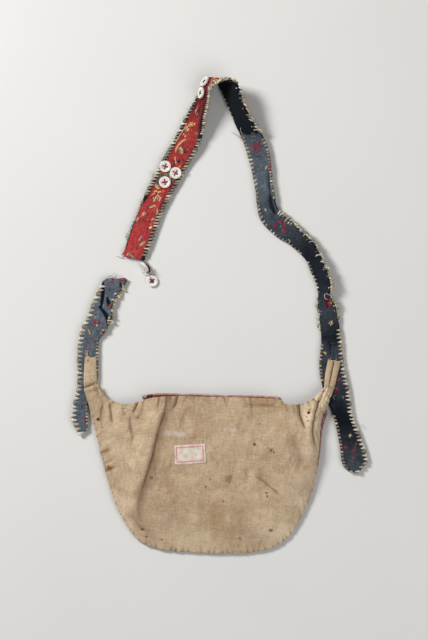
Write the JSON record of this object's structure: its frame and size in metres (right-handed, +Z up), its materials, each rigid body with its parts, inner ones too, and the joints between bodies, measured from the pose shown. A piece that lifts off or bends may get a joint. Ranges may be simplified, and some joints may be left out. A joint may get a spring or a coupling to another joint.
{
  "type": "betel nut bag",
  "caption": "Flat cloth betel nut bag lying on its front: plain cotton back, gathered necks, embroidered two-layer strap broken at one side, white sewn buttons.",
  "frame": {"origin": "on the surface that the bag lies on, under the middle of its whole outline", "axes": "+Z up from the surface towards the plain back, +Y from the bag's bottom towards the top of the strap loop, +X to the right seen from above"},
  "size_m": [0.2584, 0.4175, 0.0205],
  "materials": {
    "cream_cotton": "plain undyed cotton weave, worn and stained",
    "crimson_cloth": "plain crimson cotton",
    "red_binding": "narrow turned cotton binding",
    "red_face": "red wool cloth with embroidery",
    "indigo_backing": "indigo cotton, faded",
    "white_button": "glossy white",
    "cream_thread": "twisted cotton thread",
    "label_paper": "aged blank paper"
  },
  "bodies": {
    "root": {"back_panel": "cream_cotton", "neck_tab_left": "cream_cotton", "neck_tab_right": "cream_cotton", "front_panel": "crimson_cloth", "mouth_binding": "red_binding", "long_strap_backing": "indigo_backing", "short_strap_backing": "indigo_backing", "long_strap_face": "red_face", "short_strap_face": "red_face", "button_cluster_1": "white_button", "button_cluster_2": "white_button", "button_cluster_3": "white_button", "button_apex_1": "white_button", "button_apex_2": "white_button", "dangling_button_1": "white_button", "dangling_button_2": "white_button", "button_thread": "cream_thread", "paper_label": "label_paper"}
  },
  "joints": []
}
